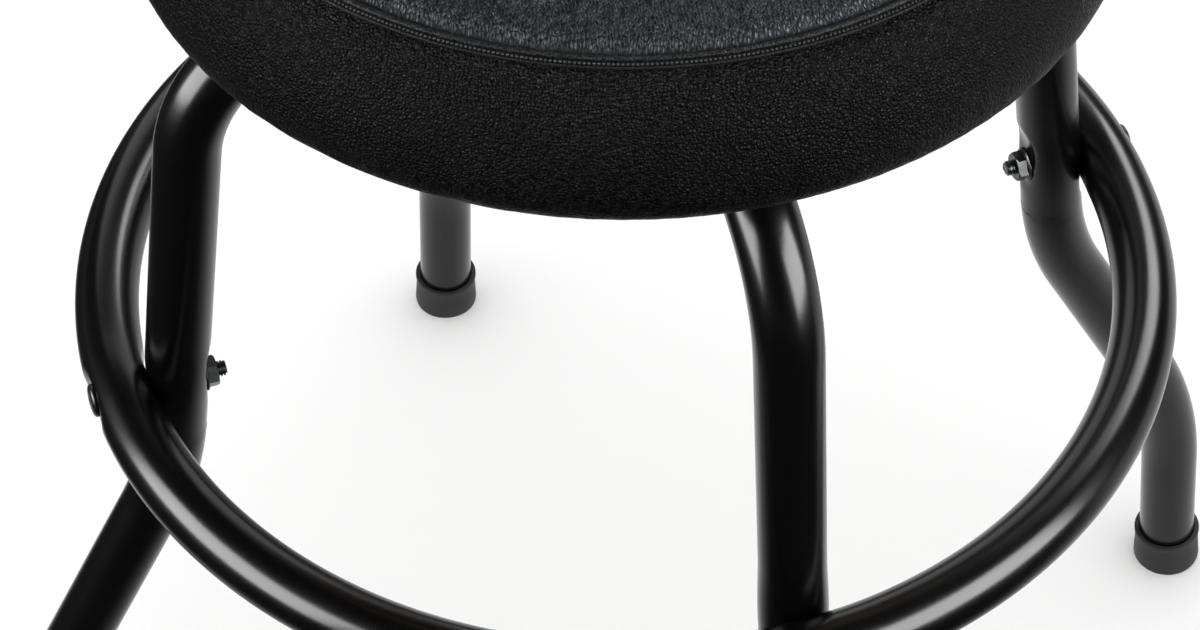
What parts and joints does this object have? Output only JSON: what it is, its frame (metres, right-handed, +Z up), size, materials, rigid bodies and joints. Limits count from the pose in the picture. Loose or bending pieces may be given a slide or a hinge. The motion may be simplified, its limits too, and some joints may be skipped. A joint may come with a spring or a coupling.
{
  "type": "adjustable swivel stool",
  "caption": "Backless round padded stool on bent tube legs with a foot ring, a screw for height and a swivel seat.",
  "frame": {"origin": "on the floor, under the middle of the seat", "axes": "+Z up the spindle; the legs stand at 45 degrees to X and Y"},
  "size_m": [0.4404, 0.4404, 0.5727],
  "materials": {
    "powder_coat": "semi-gloss black powder coat",
    "foot_rubber": "matte charcoal rubber",
    "black_zinc": "black zinc plate",
    "zinc_steel": "bright zinc plate",
    "ball_steel": "polished",
    "bronze": "sintered bronze",
    "cage_nylon": "natural nylon",
    "plywood": "raw plywood",
    "foam": "open-cell foam",
    "vinyl": "grained black vinyl, semi-gloss",
    "staple_wire": "galvanised wire"
  },
  "bodies": {
    "base": {"leg_1": "powder_coat", "leg_2": "powder_coat", "leg_3": "powder_coat", "leg_4": "powder_coat", "foot_cap_1": "foot_rubber", "foot_cap_2": "foot_rubber", "foot_cap_3": "foot_rubber", "foot_cap_4": "foot_rubber", "foot_ring": "powder_coat", "ring_bolts": "black_zinc", "ring_nuts": "black_zinc", "hub_tube": "powder_coat", "hub_top_plate": "powder_coat", "hub_bottom_plate": "powder_coat", "hub_bolts": "black_zinc", "hub_nuts": "black_zinc", "spindle_nut": "bronze"},
    "bearing": {"bearing_balls": "ball_steel", "bearing_cage": "cage_nylon"},
    "spindle": {"spindle": "zinc_steel", "lower_race": "zinc_steel", "stop_washer": "black_zinc", "stop_screw": "black_zinc", "retaining_ring": "zinc_steel"},
    "seat": {"swivel_plate": "zinc_steel", "pivot_bush": "bronze", "seat_screws": "black_zinc", "tee_nuts": "zinc_steel", "seat_board": "plywood", "seat_foam": "foam", "seat_band": "vinyl", "seat_top": "vinyl", "seat_seam": "vinyl", "seat_staples": "staple_wire"}
  },
  "joints": [
    {"name": "seat_height", "type": "slide", "parent": "base", "child": "bearing", "axis": [0, 0, 1], "range_m": [0, 0.1]},
    {"name": "spindle_turn", "type": "hinge", "parent": "bearing", "child": "spindle", "pos_m": [0, 0, 0.44], "axis": [0, 0, 1], "range_deg": [-1, 7088]},
    {"name": "seat_swivel", "type": "hinge", "parent": "bearing", "child": "seat", "pos_m": [0, 0, 0.49], "axis": [0, 0, 1], "continuous": true}
  ],
  "couplings": [
    {"joint": "spindle_turn", "follows": "seat_height", "rad_per_m": 1236.8}
  ]
}
